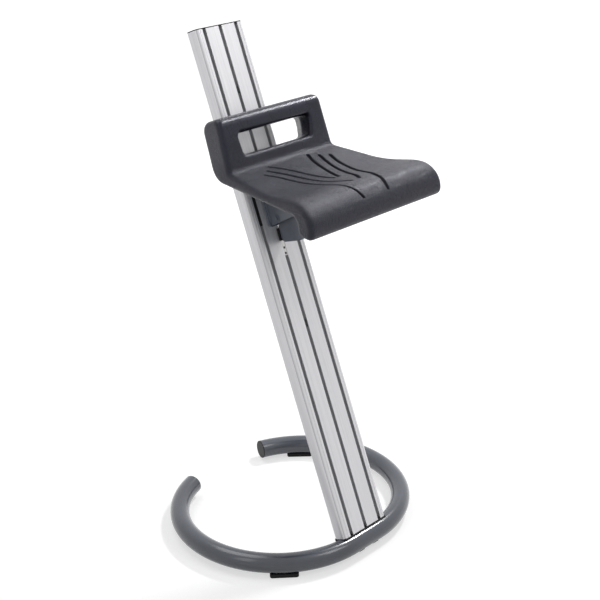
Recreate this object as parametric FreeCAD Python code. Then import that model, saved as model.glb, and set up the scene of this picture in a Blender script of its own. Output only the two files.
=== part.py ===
import FreeCAD, Part
import math
import os

V = FreeCAD.Vector

# A perch stool: a moulded seat with a hand-hold, on a bracket that slides up and down a leaning
# aluminium column, which stands on a floor ring of bent steel tube that is open at the back.
# Millimetres, +Z up, the sitter's side faces -Y, left and right are as seen from that side.

# Floor ring
tube_diameter = 38.0
tube_wall = 2.5
bend_radius = 200.0
front_straight = 70.0
ring_end_angle = 71.0
end_cap_flange = 2.0
end_cap_stem = 14.0
foot_height = 5.5
foot_length = 55.0
foot_width = 28.0
foot_corner = 5.0
front_foot_angle = -47.5
rear_foot_angle = 46.0
foot_screw_radius = 2.5

# Column
lean_angle = 22.3
column_length = 1000.0
column_depth = 32.0
column_corner = 10.0
column_wall = 2.5
column_inset = 11.5
saddle_gap = 1.6
saddle_inset = 1.5
slot_pitch = 40.0
column_width = 3 * slot_pitch
slot_mouth = 8.0
slot_width = 18.0
slot_depth = 11.0
slot_lip = 2.5
slot_shoulder = 4.5
crease_width = 1.4
crease_depth = 0.9
screw_port_radius = 4.0
screw_port_wall = 2.5
top_cap_thickness = 2.0
top_cap_lug = 12.0
column_bolt_grip = 35.0
bolt_head_radius = 6.5
bolt_head_height = 8.0
washer_radius = 9.0
washer_thickness = 3.0
access_hole_radius = 7.5
plug_rim = 1.5
plug_skin = 0.8

# Seat, measured forward from the column's face and up from its own underside
seat_height = 740.5
pan_thickness = 17.5
seat_reach = 299.5
seat_front_width = 352.0
seat_rear_width = 242.0
nose_crest = 26.5
nose_radius = 45.0
nose_thickness = 39.0
nose_drop = 32.3
nose_lip_radius = 12.0
crest_run = 11.5
crest_radius = 80.0
dish_run = 122.0
dish_depth = 1.5
dish_radius = 260.0
pan_rear_rise = 25.0
pan_rear_radius = 36.0
handle_gap = 11.5
handle_foot_thickness = 55.0
handle_top_thickness = 61.0
handle_height = 102.0
handle_foot_radius = 11.0
handle_front_radius = 16.0
handle_rear_radius = 21.0
window_low = 28.5
window_high = 67.0
window_width_low = 168.0
window_width_high = 182.0
window_corner = 9.0
window_flare = 12.0
window_flare_depth = 30.0
window_front_radius = 7.5
seat_edge_radius = 8.5
groove_width = 3.6
groove_depth = 2.2
# Each groove runs forward from the handle: share of the half width, and of the seat's reach.
seat_grooves = (((0.279, 0.210), (0.173, 0.334), (0.095, 0.481), (0.030, 0.643)),
                ((0.374, 0.262), (0.302, 0.412), (0.184, 0.575), (0.112, 0.673), (0.039, 0.774)),
                ((0.480, 0.301), (0.413, 0.402), (0.341, 0.543), (0.291, 0.647), (0.257, 0.715),
                 (0.240, 0.766), (0.205, 0.845), (0.181, 0.906), (0.177, 0.945)))

# Sliding bracket, measured along the column down from the seat's underside
travel_up = 125.0
travel_down = 130.0
plate_thickness = 5.0
plate_gap = 1.0
plate_drop = 118.0
plate_rise = 15.0
plate_shoulder_drop = 28.0
plate_narrow_width = 48.0
plate_wide_width = 104.0
glide_width = 14.0
slide_clearance = 0.35
bar_tail_drop = 178.0
bar_screw_radius = 3.0
set_screw_levels_up = (4.0, 15.0)
set_screw_radius = 2.5
shoe_drop = 110.0
shoe_screw_radius = 2.5
screw_clearance = 0.2
gusset_thickness = 3.0
gusset_spacing = 34.0
gusset_reach = 212.0
gusset_nose = 4.0
support_thickness = 4.0
support_width = 130.0
support_reach = 222.0
support_corner = 12.0
insert_width = 180.0
insert_length = 150.0
insert_thickness = 3.0
insert_height = 6.0
insert_corner = 10.0
seat_bolt_spread = 45.0
seat_bolt_rows = (92.0, 182.0)
seat_bolt_radius = 3.0
seat_washer_radius = 6.5
seat_washer_thickness = 1.2
seat_bolt_head_radius = 5.8
seat_bolt_head_height = 4.0

# Release lever
pin_radius = 4.0
pin_drop = 104.0
pin_out = 24.0
lever_thickness = 8.0
lever_boss_rise = 10.0
lever_boss_corner = 8.0
lever_length = 126.0
lever_arm_height = 16.0
lever_arm_corner = 6.0
lever_arm_rise = 17.0
lever_throat_reach = 35.0
lever_throat_drop = 8.0
lever_throat_radius = 20.0
lever_toe_drop = 152.0
lever_toe_reach = 30.0
lever_toe_sag = 3.0
lever_toe_radius = 9.0
brake_pad_width = 14.0
brake_pad_length = 24.0
brake_pad_thickness = 4.2
grip_radius = 7.0
grip_width = 80.0
spring_wire = 1.6
spring_turns = 4
spring_leg_angle = 30.0
spring_leg_length = 25.1
spring_hook_angle = 77.9
spring_hook_length = 22.4
spring_hook_width = 16.0

# Clearances
running_gap = 0.3
pin_fit = 0.1
seated_gap = 0.15

# Worked out from the sizes above
tube_radius = tube_diameter / 2
tube_height = foot_height + tube_radius
lean = math.radians(lean_angle)
column_foot = tube_radius + saddle_gap
column_top = column_foot + column_length
face_y = -bend_radius - column_inset * math.cos(lean)
face_z = tube_height + column_inset * math.sin(lean)
on_column = FreeCAD.Placement(V(0, face_y, face_z), FreeCAD.Rotation(V(1, 0, 0), -lean_angle))
seat_underside = seat_height - pan_thickness
seat_level = (seat_underside - face_z) / math.cos(lean)
anchor_y = face_y + seat_level * math.sin(lean)
plate_back = -plate_gap
plate_front = -plate_gap - plate_thickness
slot_places = (-slot_pitch, 0.0, slot_pitch)
port_places = (-slot_pitch / 2, slot_pitch / 2)


# Shapes from outlines

def box(x0, x1, y0, y1, z0, z1):
    return Part.makeBox(x1 - x0, y1 - y0, z1 - z0, V(x0, y0, z0))


def rod(radius, start, end):
    return Part.makeCylinder(radius, (end - start).Length, start, end - start)


def leaning(shape):
    # From the column's own frame (x across, y into the column, z up along it) to the stool's.
    moved = shape.copy()
    moved.Placement = on_column.multiply(moved.Placement)
    return moved


def column_point(depth, along):
    return on_column.multVec(V(0, depth, along))


def level_at(height, depth):
    # How far along the column the plane at this depth reaches this height above the floor.
    return (height - face_z + depth * math.sin(lean)) / math.cos(lean)


def on_plan(point):
    return V(point.x, point.y, 0)


def on_side(point):
    return V(0, point.x, point.y)


def rounded_face(corners, place):
    # A closed outline of straight runs, each corner given as (u, v, radius).
    tangents = []
    for index, (u, v, radius) in enumerate(corners):
        corner = V(u, v, 0)
        before = corners[index - 1]
        after = corners[(index + 1) % len(corners)]
        back = (V(before[0], before[1], 0) - corner).normalize()
        ahead = (V(after[0], after[1], 0) - corner).normalize()
        half_angle = back.getAngle(ahead) / 2
        inward = (back + ahead).normalize()
        reach = radius / math.tan(half_angle)
        middle = corner + inward * (radius / math.sin(half_angle) - radius)
        tangents.append((corner + back * reach, middle, corner + ahead * reach))
    edges = []
    for index, (start, middle, end) in enumerate(tangents):
        if (end - start).Length > 1e-6:
            edges.append(Part.Arc(place(start), place(middle), place(end)).toShape())
        following = tangents[(index + 1) % len(tangents)][0]
        if (following - end).Length > 1e-6:
            edges.append(Part.LineSegment(place(end), place(following)).toShape())
    return Part.Face(Part.Wire(edges))


def plan_prism(corners, low, high):
    face = rounded_face(corners, on_plan)
    face.translate(V(0, 0, low))
    return face.extrude(V(0, 0, high - low))


def side_prism(corners, left, right):
    face = rounded_face(corners, on_side)
    face.translate(V(left, 0, 0))
    return face.extrude(V(right - left, 0, 0))


def rectangle(half_width, low, high, radius):
    return [(-half_width, low, radius), (half_width, low, radius),
            (half_width, high, radius), (-half_width, high, radius)]


def mirrored(shape):
    return shape.mirror(V(0, 0, 0), V(1, 0, 0))


# Floor ring

def ring_solid(radius):
    # The bent tube's outside, or its bore, as a straight front run and two long bends.
    half_straight = front_straight / 2
    front = V(-half_straight, -bend_radius, tube_height)
    disc = Part.Face(Part.Wire(Part.makeCircle(radius, front, V(1, 0, 0))))
    straight = disc.extrude(V(front_straight, 0, 0))
    right_disc = Part.Face(Part.Wire(Part.makeCircle(radius, V(half_straight, -bend_radius, tube_height),
                                                     V(1, 0, 0))))
    right_bend = right_disc.revolve(V(half_straight, 0, tube_height), V(0, 0, 1), 90 + ring_end_angle)
    return straight.fuse([right_bend, mirrored(right_bend)]).removeSplitter()


def ring_point(angle, side):
    turned = math.radians(angle)
    across = front_straight / 2 + bend_radius * math.cos(turned)
    return V(side * across, bend_radius * math.sin(turned), tube_height)


def ring_heading(angle, side):
    turned = math.radians(angle)
    return V(-side * math.sin(turned), math.cos(turned), 0)


def foot_places():
    return [("front_left", front_foot_angle, -1), ("front_right", front_foot_angle, 1),
            ("rear_left", rear_foot_angle, -1), ("rear_right", rear_foot_angle, 1)]


def base_tube():
    tube = ring_solid(tube_radius).cut(ring_solid(tube_radius - tube_wall))
    for x in port_places:
        tube = tube.cut(leaning(rod(screw_port_radius + pin_fit, V(x, column_inset, 0),
                                    V(x, column_inset, column_foot))))
        tube = tube.cut(leaning(rod(access_hole_radius, V(x, column_inset, -column_foot),
                                    V(x, column_inset, 0))))
    for name, angle, side in foot_places():
        centre = ring_point(angle, side)
        tube = tube.cut(rod(foot_screw_radius + pin_fit, V(centre.x, centre.y, 0), centre))
    return tube


def tube_end_cap(side):
    end = ring_point(ring_end_angle, side)
    heading = ring_heading(ring_end_angle, side)
    flange = rod(tube_radius, end, end + heading * end_cap_flange)
    rim = [edge for edge in flange.Edges if edge.Curve.TypeId == "Part::GeomCircle"
           and (edge.Curve.Center - end).Length > end_cap_flange / 2]
    flange = flange.makeFillet(end_cap_flange * 0.6, rim)
    stem = rod(tube_radius - tube_wall - seated_gap, end - heading * end_cap_stem, end)
    stem = stem.common(ring_solid(tube_radius - tube_wall - seated_gap))
    bore = rod(tube_radius - 2 * tube_wall, end - heading * end_cap_stem, end - heading * end_cap_flange)
    return flange.fuse(stem.cut(bore)).removeSplitter()


def foot_pad(angle, side):
    # A glide that cradles the tube from below, with a counterbore for its screw.
    centre = ring_point(angle, side)
    heading = ring_heading(angle, side)
    outline = rectangle(foot_width / 2, -foot_length / 2, foot_length / 2, foot_corner)
    pad = plan_prism(outline, 0, foot_height * 1.5)
    sole = [edge for edge in pad.Edges if edge.BoundBox.ZMax < 0.01]
    pad = pad.makeFillet(foot_height * 0.3, sole)
    pad = pad.cut(rod(foot_screw_radius * 2, V(0, 0, 0), V(0, 0, foot_height / 2)))
    pad = pad.cut(rod(foot_screw_radius + pin_fit, V(0, 0, 0), V(0, 0, foot_height * 2)))
    turn = math.degrees(math.atan2(-heading.x, heading.y))
    pad.Placement = FreeCAD.Placement(V(centre.x, centre.y, 0), FreeCAD.Rotation(V(0, 0, 1), turn))
    return pad.cut(ring_solid(tube_radius + seated_gap))


def foot_screws():
    screws = []
    for name, angle, side in foot_places():
        centre = ring_point(angle, side)
        foot = V(centre.x, centre.y, 0)
        head = rod(foot_screw_radius * 1.8, foot + V(0, 0, foot_height * 0.2), foot + V(0, 0, foot_height / 2))
        shank = rod(foot_screw_radius, foot + V(0, 0, foot_height / 2),
                    foot + V(0, 0, foot_height + tube_wall * 3))
        screws.append(head.fuse(shank).removeSplitter())
    return Part.makeCompound(screws)


# Column

def slot_chamber(inset):
    # Half outline of the slot's inner chamber, or of what slides in it with a clearance.
    wide = slot_width / 2 - inset
    floor = wide - slot_shoulder + inset * 0.4
    shoulder = slot_depth - slot_shoulder - inset * 0.4
    return [(wide, slot_lip + inset), (wide, shoulder), (floor, slot_depth - inset)]


def chamber_outline(centre, inset):
    half = slot_chamber(inset)
    right = [(centre + x, q, 0) for x, q in half]
    left = [(centre - x, q, 0) for x, q in reversed(half)]
    return right + left


def column_section():
    outer = rounded_face(rectangle(column_width / 2, 0, column_depth, column_corner), on_plan)
    cuts = []
    for x in slot_places:
        mouth = [(x - slot_mouth / 2, -1, 0), (x + slot_mouth / 2, -1, 0),
                 (x + slot_mouth / 2, slot_lip, 0), (x - slot_mouth / 2, slot_lip, 0)]
        cuts.append(rounded_face(mouth, on_plan))
        cuts.append(rounded_face(chamber_outline(x, 0), on_plan))
    crease_x = column_width / 2 - column_corner
    for side in (-1, 1):
        crease = [(side * crease_x - crease_width / 2, -0.01, 0), (side * crease_x + crease_width / 2, -0.01, 0),
                  (side * crease_x, crease_depth, 0)]
        cuts.append(rounded_face(crease, on_plan))
    cuts.extend(column_hollows(column_wall))
    for x in port_places:
        cuts.append(Part.Face(Part.Wire(Part.makeCircle(screw_port_radius, V(x, column_inset, 0)))))
    return outer.cut(Part.makeCompound(cuts))


def column_hollows(wall):
    # The closed chambers behind the slots: one in the middle and one in each flank.
    slot_back = slot_depth + wall
    rear = column_depth - wall
    rib = wall / 2
    port = slot_pitch / 2
    inner_radius = max(column_corner - wall, 1.0)
    boss_radius = screw_port_radius + screw_port_wall
    middle = rounded_face(rectangle(port - rib, slot_back, rear, 1.5), on_plan)
    flank_x = column_width / 2 - wall
    slot_side = slot_pitch + slot_width / 2 + wall
    flank = [(port + rib, slot_back, 1.5), (slot_side, slot_back, 1.5), (slot_side, wall * 2, 1.0),
             (flank_x, wall * 2, 2.0), (flank_x, rear, inner_radius), (port + rib, rear, 1.5)]
    right = rounded_face(flank, on_plan)
    bosses = [Part.Face(Part.Wire(Part.makeCircle(boss_radius, V(x, column_inset, 0)))) for x in port_places]
    return [face.cut(bosses) for face in (middle, right, mirrored(right))]


def column_profile():
    section = column_section()
    section.translate(V(0, 0, column_foot))
    return leaning(section.extrude(V(0, 0, column_length)))


def column_top_cap():
    outline = rectangle(column_width / 2 - running_gap, running_gap, column_depth - running_gap,
                        column_corner - running_gap)
    plate = plan_prism(outline, column_top, column_top + top_cap_thickness)
    lug_low = slot_depth + column_wall * 2
    lug_high = column_depth - column_wall * 2
    lug = box(slot_pitch - slot_width / 2, slot_pitch + slot_width / 2, lug_low, lug_high,
              column_top - top_cap_lug, column_top)
    return leaning(plate.fuse([lug, mirrored(lug)]).removeSplitter())


def column_saddle():
    # The packing between the column's square foot and the round tube.
    block = box(-column_width / 2 + saddle_inset, column_width / 2 - saddle_inset, saddle_inset,
                column_depth - saddle_inset, tube_radius / 4, column_foot)
    block = leaning(block).cut(ring_solid(tube_radius + seated_gap))
    for x in port_places:
        block = block.cut(leaning(rod(screw_port_radius + pin_fit, V(x, column_inset, 0),
                                      V(x, column_inset, column_foot))))
    return max(block.Solids, key=lambda solid: solid.Volume)


def column_bolts():
    bolts = []
    washer_low = tube_radius - tube_wall - washer_thickness
    for x in port_places:
        seat = V(x, column_inset, washer_low)
        head = rod(bolt_head_radius, seat - V(0, 0, bolt_head_height), seat)
        shank = rod(screw_port_radius - pin_fit, seat, V(x, column_inset, column_foot + column_bolt_grip))
        bolts.append(leaning(head.fuse(shank).removeSplitter()))
    return Part.makeCompound(bolts)


def saddle_washers():
    washers = []
    washer_low = tube_radius - tube_wall - washer_thickness
    for x in port_places:
        disc = rod(washer_radius, V(x, column_inset, washer_low), V(x, column_inset, tube_radius))
        disc = disc.cut(rod(screw_port_radius, V(x, column_inset, 0), V(x, column_inset, tube_radius)))
        washers.append(leaning(disc).common(ring_solid(tube_radius - tube_wall - seated_gap)))
    return Part.makeCompound(washers)


def access_plugs():
    plugs = []
    for x in port_places:
        outside = V(x, column_inset, -tube_radius - 2 * plug_skin)
        stem = rod(access_hole_radius - seated_gap, outside, V(x, column_inset, -tube_radius + 2 * tube_wall))
        rim = rod(access_hole_radius + plug_rim, outside, V(x, column_inset, -tube_radius / 2))
        rim = leaning(rim).cut(ring_solid(tube_radius + pin_fit))
        plug = rim.fuse(leaning(stem)).common(ring_solid(tube_radius + plug_skin)).removeSplitter()
        plugs.append(max(plug.Solids, key=lambda solid: solid.Volume))
    return Part.makeCompound(plugs)


def travel_stops():
    # Blocks clamped in the middle slot just past each end of the slide bar's travel.
    block_length = slot_width * 0.7
    low_top = seat_level - bar_tail_drop - travel_down - running_gap
    high_bottom = seat_level + plate_rise + travel_up + running_gap
    outline = chamber_outline(0, seated_gap)
    stops = [plan_prism(outline, low_top - block_length, low_top),
             plan_prism(outline, high_bottom, high_bottom + block_length)]
    return Part.makeCompound([leaning(stop) for stop in stops])


# Sliding bracket

def slot_slider(centre, low, high, seat_low):
    # A head in the slot's chamber with a neck in its mouth, raised to the slide plate above seat_low.
    half_neck = slot_mouth / 2 - slide_clearance
    neck_back = slot_lip + 1.5 * slide_clearance
    head = plan_prism(chamber_outline(centre, slide_clearance), low, high)
    neck = box(centre - half_neck, centre + half_neck, slide_clearance, neck_back, low, high)
    step = box(centre - half_neck, centre + half_neck, plate_back, neck_back, seat_low, high)
    return head.fuse([neck, step]).removeSplitter()


def bar_screw_levels():
    return (seat_level - plate_drop * 0.52, seat_level + plate_rise * 0.5)


def shoe_screw_levels():
    middle = seat_level + (plate_rise - plate_shoulder_drop) / 2
    spread = (plate_rise + plate_shoulder_drop) * 0.28
    return (middle - spread, middle + spread)


def set_screw_levels():
    return [seat_level - bar_tail_drop + up for up in set_screw_levels_up]


def carriage_plate():
    # Narrow between the gussets, and wide above, where it reaches over the outer slots.
    low = seat_level - plate_drop
    high = seat_level + plate_rise
    shoulder = seat_level - plate_shoulder_drop
    narrow = plate_narrow_width / 2
    wide = plate_wide_width / 2
    step = (wide - narrow) * 0.5
    right = [(narrow, low, 5), (narrow, shoulder - step, 6), (wide, shoulder, 5), (wide, high, 8)]
    left = [(-x, s, radius) for x, s, radius in reversed(right)]
    face = rounded_face(right + left, lambda point: V(point.x, plate_back, point.y))
    plate = face.extrude(V(0, -plate_thickness, 0))
    for s in bar_screw_levels():
        plate = plate.cut(rod(bar_screw_radius + screw_clearance, V(0, plate_back + 1, s),
                              V(0, plate_front - 1, s)))
    for x in (-slot_pitch, slot_pitch):
        for s in shoe_screw_levels():
            plate = plate.cut(rod(shoe_screw_radius + screw_clearance, V(x, plate_back + 1, s),
                                  V(x, plate_front - 1, s)))
    return leaning(plate)


def glide_pads():
    inner = slot_mouth
    pad = box(inner, inner + glide_width, plate_back, -0.2, seat_level - plate_drop + 4,
              seat_level + plate_rise - 4)
    return Part.makeCompound([leaning(pad), leaning(mirrored(pad))])


def guide_shoe(side):
    shoe = slot_slider(side * slot_pitch, seat_level - shoe_drop, seat_level + plate_rise,
                       seat_level - plate_shoulder_drop)
    for s in shoe_screw_levels():
        shoe = shoe.cut(rod(shoe_screw_radius, V(side * slot_pitch, plate_back - 1, s),
                            V(side * slot_pitch, slot_depth - 2, s)))
    return leaning(shoe)


def slide_bar():
    bar = slot_slider(0.0, seat_level - bar_tail_drop, seat_level + plate_rise, seat_level - plate_drop)
    for s in bar_screw_levels():
        bar = bar.cut(rod(bar_screw_radius, V(0, plate_back - 1, s), V(0, slot_depth - 2, s)))
    for s in set_screw_levels():
        bar = bar.cut(rod(set_screw_radius, V(0, plate_back - 1, s), V(0, slot_depth, s)))
    return leaning(bar)


def screw(x, s, shank_radius, tip):
    head = rod(shank_radius * 1.8, V(x, plate_front, s), V(x, plate_front - shank_radius, s))
    shank = rod(shank_radius - pin_fit, V(x, plate_front, s), V(x, tip, s))
    return leaning(head.fuse(shank).removeSplitter())


def slide_bar_screws():
    tip = slot_depth - 3
    return Part.makeCompound([screw(0.0, s, bar_screw_radius, tip) for s in bar_screw_levels()])


def shoe_screws():
    places = [(x, s) for x in (-slot_pitch, slot_pitch) for s in shoe_screw_levels()]
    return Part.makeCompound([screw(x, s, shoe_screw_radius, slot_depth - 3) for x, s in places])


def bar_set_screws():
    screws = []
    for s in set_screw_levels():
        body = rod(set_screw_radius - pin_fit, V(0, slide_clearance * 2, s), V(0, slot_depth - 1, s))
        socket = rod(set_screw_radius / 2, V(0, 0, s), V(0, slot_depth / 4, s))
        screws.append(leaning(body.cut(socket)))
    return Part.makeCompound(screws)


def gusset(side):
    # Three-cornered plate from the slide plate out to the front of the seat support.
    top = seat_underside - support_thickness
    rear_top = column_point(plate_front, level_at(top, plate_front))
    rear_low = column_point(plate_front, seat_level - plate_drop + 2)
    nose_y = anchor_y - gusset_reach
    corners = [(rear_top.y, rear_top.z, 0), (rear_low.y, rear_low.z, 3),
               (nose_y, top - gusset_nose, 2), (nose_y, top, 0)]
    inner = gusset_spacing / 2
    plate = side_prism(corners, inner, inner + gusset_thickness)
    pin = column_point(-pin_out, seat_level - pin_drop)
    plate = plate.cut(rod(pin_radius + pin_fit / 2, pin, pin + V(gusset_spacing, 0, 0)))
    return plate if side > 0 else mirrored(plate)


def seat_bolt_places():
    return [(x, anchor_y - forward) for x in (-seat_bolt_spread, seat_bolt_spread) for forward in seat_bolt_rows]


def seat_support_plate():
    low = seat_underside - support_thickness
    rear = column_point(plate_front, level_at(low, plate_front)).y - seated_gap
    front = anchor_y - support_reach
    half = support_width / 2
    corners = [(-half, front, support_corner), (half, front, support_corner), (half, rear, support_thickness),
               (-half, rear, support_thickness)]
    plate = plan_prism(corners, low, seat_underside)
    for x, y in seat_bolt_places():
        plate = plate.cut(rod(seat_bolt_radius + screw_clearance, V(x, y, low - 1),
                              V(x, y, seat_underside + 1)))
    return plate


def pivot_pin():
    reach = gusset_spacing / 2 + gusset_thickness + 3.5
    centre = column_point(-pin_out, seat_level - pin_drop)
    return rod(pin_radius, centre - V(reach, 0, 0), centre + V(reach, 0, 0))


def pin_clips():
    centre = column_point(-pin_out, seat_level - pin_drop)
    inner = gusset_spacing / 2 + gusset_thickness + seated_gap
    clips = []
    for side in (-1, 1):
        start = centre + V(side * inner, 0, 0)
        ring = rod(pin_radius * 1.8, start, start + V(side, 0, 0))
        clips.append(ring.cut(rod(pin_radius + pin_fit / 2, start, start + V(side, 0, 0))))
    return Part.makeCompound(clips)


# Seat

def seat_side_outline():
    # Corners of the seat seen from the side, going round from the rear of the underside.
    rear_q = -handle_gap
    top_s = seat_level + handle_height
    rear_low = column_point(rear_q, level_at(seat_underside, rear_q))
    rear_top = column_point(rear_q, top_s)
    front_top = column_point(-handle_gap - handle_top_thickness, top_s)
    pan_z = seat_underside + pan_rear_rise
    foot_q = -handle_gap - handle_foot_thickness
    foot = column_point(foot_q, level_at(pan_z, foot_q))
    nose_y = anchor_y - seat_reach
    crest_z = seat_underside + nose_crest
    lip_z = seat_underside - nose_drop
    inner_y = nose_y + nose_thickness
    front_lip = (nose_crest + nose_drop - nose_radius) * 0.95
    inner_radius = (nose_drop - nose_lip_radius) * 0.94
    return [(rear_low.y, rear_low.z, pan_rear_radius), (rear_top.y, rear_top.z, handle_rear_radius),
            (front_top.y, front_top.z, handle_front_radius), (foot.y, foot.z, handle_foot_radius),
            (nose_y + dish_run, seat_height - dish_depth, dish_radius),
            (nose_y + nose_radius + crest_run, crest_z, crest_radius), (nose_y, crest_z, nose_radius),
            (nose_y, lip_z, front_lip), (inner_y, lip_z, nose_lip_radius),
            (inner_y, seat_underside, inner_radius)]


def seat_half_width(y):
    # The sides are straight in plan and draw in towards the back.
    front_y = anchor_y - seat_reach
    share = (y - front_y) / (seat_reach + handle_height * math.sin(lean))
    return (seat_front_width + (seat_rear_width - seat_front_width) * share) / 2


def seat_block():
    reach = seat_front_width
    block = side_prism(seat_side_outline(), -reach, reach)
    front = anchor_y - seat_reach * 1.05
    rear = anchor_y + handle_height
    plan = [(-seat_half_width(front), front, 0), (seat_half_width(front), front, 0),
            (seat_half_width(rear), rear, 0), (-seat_half_width(rear), rear, 0)]
    low = seat_underside - nose_drop * 1.5
    high = seat_height + handle_height * 1.5
    return block.common(plan_prism(plan, low, high))


def window_outline(depth, spread):
    low = seat_level + window_low
    high = seat_level + window_high
    wide_low = window_width_low / 2 + spread
    wide_high = window_width_high / 2 + spread
    outline = [(-wide_low, low, window_corner), (wide_low, low, window_corner),
               (wide_high, high, window_corner), (-wide_high, high, window_corner)]
    return rounded_face(outline, lambda point: V(point.x, depth, point.y))


def handle_window():
    # The hand-hold: a wide hole square to the handle, a little wider at the top, that opens out
    # to its sides behind.
    straight = window_outline(0, 0).extrude(V(0, -handle_gap - handle_top_thickness * 1.5, 0))
    behind = -handle_gap
    slope = window_flare / window_flare_depth
    wires = [window_outline(behind - window_flare_depth, 0).OuterWire,
             window_outline(0, slope * (window_flare_depth + handle_gap)).OuterWire]
    return leaning(straight.fuse(Part.makeLoft(wires, True)).removeSplitter())


def on_handle_front(edge):
    # The edges of the hand-hold that lie on the handle's front face, which is flat there.
    local = on_column.inverse()
    depths = [local.multVec(vertex.Point).y for vertex in edge.Vertexes]
    levels = [local.multVec(vertex.Point).z - seat_level for vertex in edge.Vertexes]
    across = [abs(vertex.Point.x) for vertex in edge.Vertexes]
    inside = window_low - 1 < min(levels) and max(levels) < window_high + 1
    return max(depths) < -handle_gap - handle_foot_thickness and inside and max(across) < window_width_high / 2 + 1


def groove_ribbon(line, side):
    # One groove's strip in plan, with round ends, run up through the whole seat.
    centres = [V(side * across * seat_front_width / 2, anchor_y - forward * seat_reach, 0)
               for across, forward in line]
    curve = Part.BSplineCurve()
    curve.interpolate(centres)
    sides = ([], [])
    steps = 2 * len(line)
    for step in range(steps + 1):
        at = curve.FirstParameter + (curve.LastParameter - curve.FirstParameter) * step / steps
        heading = curve.tangent(at)[0]
        offset = V(-heading.y, heading.x, 0) * (groove_width / 2)
        sides[0].append(curve.value(at) + offset)
        sides[1].append(curve.value(at) - offset)
    edges = []
    for points in sides:
        border = Part.BSplineCurve()
        border.interpolate(points)
        edges.append(border.toShape())
    for end, sign in ((0, -1), (-1, 1)):
        middle = (sides[0][end] + sides[1][end]) * 0.5
        heading = curve.tangent(curve.FirstParameter if end == 0 else curve.LastParameter)[0]
        tip = middle + heading * (sign * groove_width / 2)
        edges.append(Part.Arc(sides[0][end], tip, sides[1][end]).toShape())
    face = Part.Face(Part.Wire(Part.__sortEdges__(edges)))
    face.translate(V(0, 0, seat_underside + pan_thickness / 3))
    return face.extrude(V(0, 0, handle_height))


def groove_cuts(block):
    # The strips, as deep as the gap between the seat and the same seat moved in behind its surface.
    inside = block.copy()
    inside.translate(V(0, groove_depth, -groove_depth))
    ribbons = [groove_ribbon(line, side) for line in seat_grooves for side in (-1, 1)]
    return [ribbon.cut(inside) for ribbon in ribbons]


def seat_shell():
    block = seat_block()
    side_edges = []
    for edge in block.Edges:
        box_of = edge.BoundBox
        if box_of.XMin > 0 or box_of.XMax < 0:
            side_edges.append(edge)
    block = block.makeFillet(seat_edge_radius, side_edges)
    block = block.cut(handle_window())
    block = block.makeFillet(window_front_radius, [edge for edge in block.Edges if on_handle_front(edge)])
    block = block.cut(groove_cuts(block))
    bore_top = seat_underside + insert_height + insert_thickness
    bores = [rod(seat_bolt_radius, V(x, y, seat_underside), V(x, y, bore_top)) for x, y in seat_bolt_places()]
    return block.cut([seat_insert()] + bores)


def seat_insert():
    # The steel plate moulded into the foam, with a tapped boss at each bolt.
    low = seat_underside + insert_height
    middle = anchor_y - sum(seat_bolt_rows) / len(seat_bolt_rows)
    outline = rectangle(insert_width / 2, middle - insert_length / 2, middle + insert_length / 2, insert_corner)
    plate = plan_prism(outline, low, low + insert_thickness)
    for x, y in seat_bolt_places():
        plate = plate.fuse(rod(seat_washer_radius, V(x, y, seat_underside), V(x, y, low)))
    plate = plate.removeSplitter()
    for x, y in seat_bolt_places():
        plate = plate.cut(rod(seat_bolt_radius, V(x, y, seat_underside), V(x, y, low + insert_thickness)))
    return plate


def seat_washers():
    top = seat_underside - support_thickness
    washers = []
    for x, y in seat_bolt_places():
        under = V(x, y, top - seat_washer_thickness)
        disc = rod(seat_washer_radius, under, V(x, y, top))
        washers.append(disc.cut(rod(seat_bolt_radius + screw_clearance, under, V(x, y, top))))
    return Part.makeCompound(washers)


def seat_bolts():
    top = seat_underside - support_thickness - seat_washer_thickness
    bolts = []
    turns = [math.radians(60 * k) for k in range(6)]
    for x, y in seat_bolt_places():
        corners = [(x + seat_bolt_head_radius * math.cos(turn), y + seat_bolt_head_radius * math.sin(turn), 0)
                   for turn in turns]
        head = plan_prism(corners, top - seat_bolt_head_height, top)
        shank = rod(seat_bolt_radius - pin_fit, V(x, y, top), V(x, y, seat_underside + insert_height + 1))
        bolts.append(head.fuse(shank).removeSplitter())
    return Part.makeCompound(bolts)


# Release lever

def lever_outline():
    # In the column's frame: a boss on the pin, a toe that bears on the column, and a pull arm.
    pin_s = seat_level - pin_drop
    toe_s = seat_level - lever_toe_drop
    heel_q = -running_gap - brake_pad_thickness
    end_q = -pin_out - lever_length
    arm_low = toe_s + lever_arm_rise
    boss_top = pin_s + lever_boss_rise
    boss_rear = plate_front - running_gap * 10
    plate_low = seat_level - plate_drop
    return [(boss_rear, boss_top, lever_boss_corner), (boss_rear, plate_low + 1, 2), (heel_q, plate_low - 4, 2),
            (heel_q, toe_s, lever_toe_radius),
            (-pin_out - lever_toe_reach, toe_s - lever_toe_sag, lever_throat_radius),
            (end_q, arm_low, lever_arm_corner), (end_q, arm_low + lever_arm_height, lever_arm_corner),
            (-pin_out - lever_throat_reach, pin_s - lever_throat_drop, lever_throat_radius),
            (-pin_out - lever_boss_rise, boss_top, lever_boss_corner)]


def release_lever():
    face = rounded_face(lever_outline(), on_side)
    half = lever_thickness / 2
    face.translate(V(-half, 0, 0))
    blade = face.extrude(V(lever_thickness, 0, 0))
    pin = V(-half - 1, -pin_out, seat_level - pin_drop)
    blade = blade.cut(rod(pin_radius + pin_fit, pin, pin + V(lever_thickness + 2, 0, 0)))
    return leaning(blade)


def brake_pad():
    heel_q = -running_gap - brake_pad_thickness
    high = seat_level - plate_drop - 6.5
    half = brake_pad_width / 2
    pad = box(-half, half, heel_q, -running_gap, high - brake_pad_length, high)
    return leaning(pad)


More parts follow.
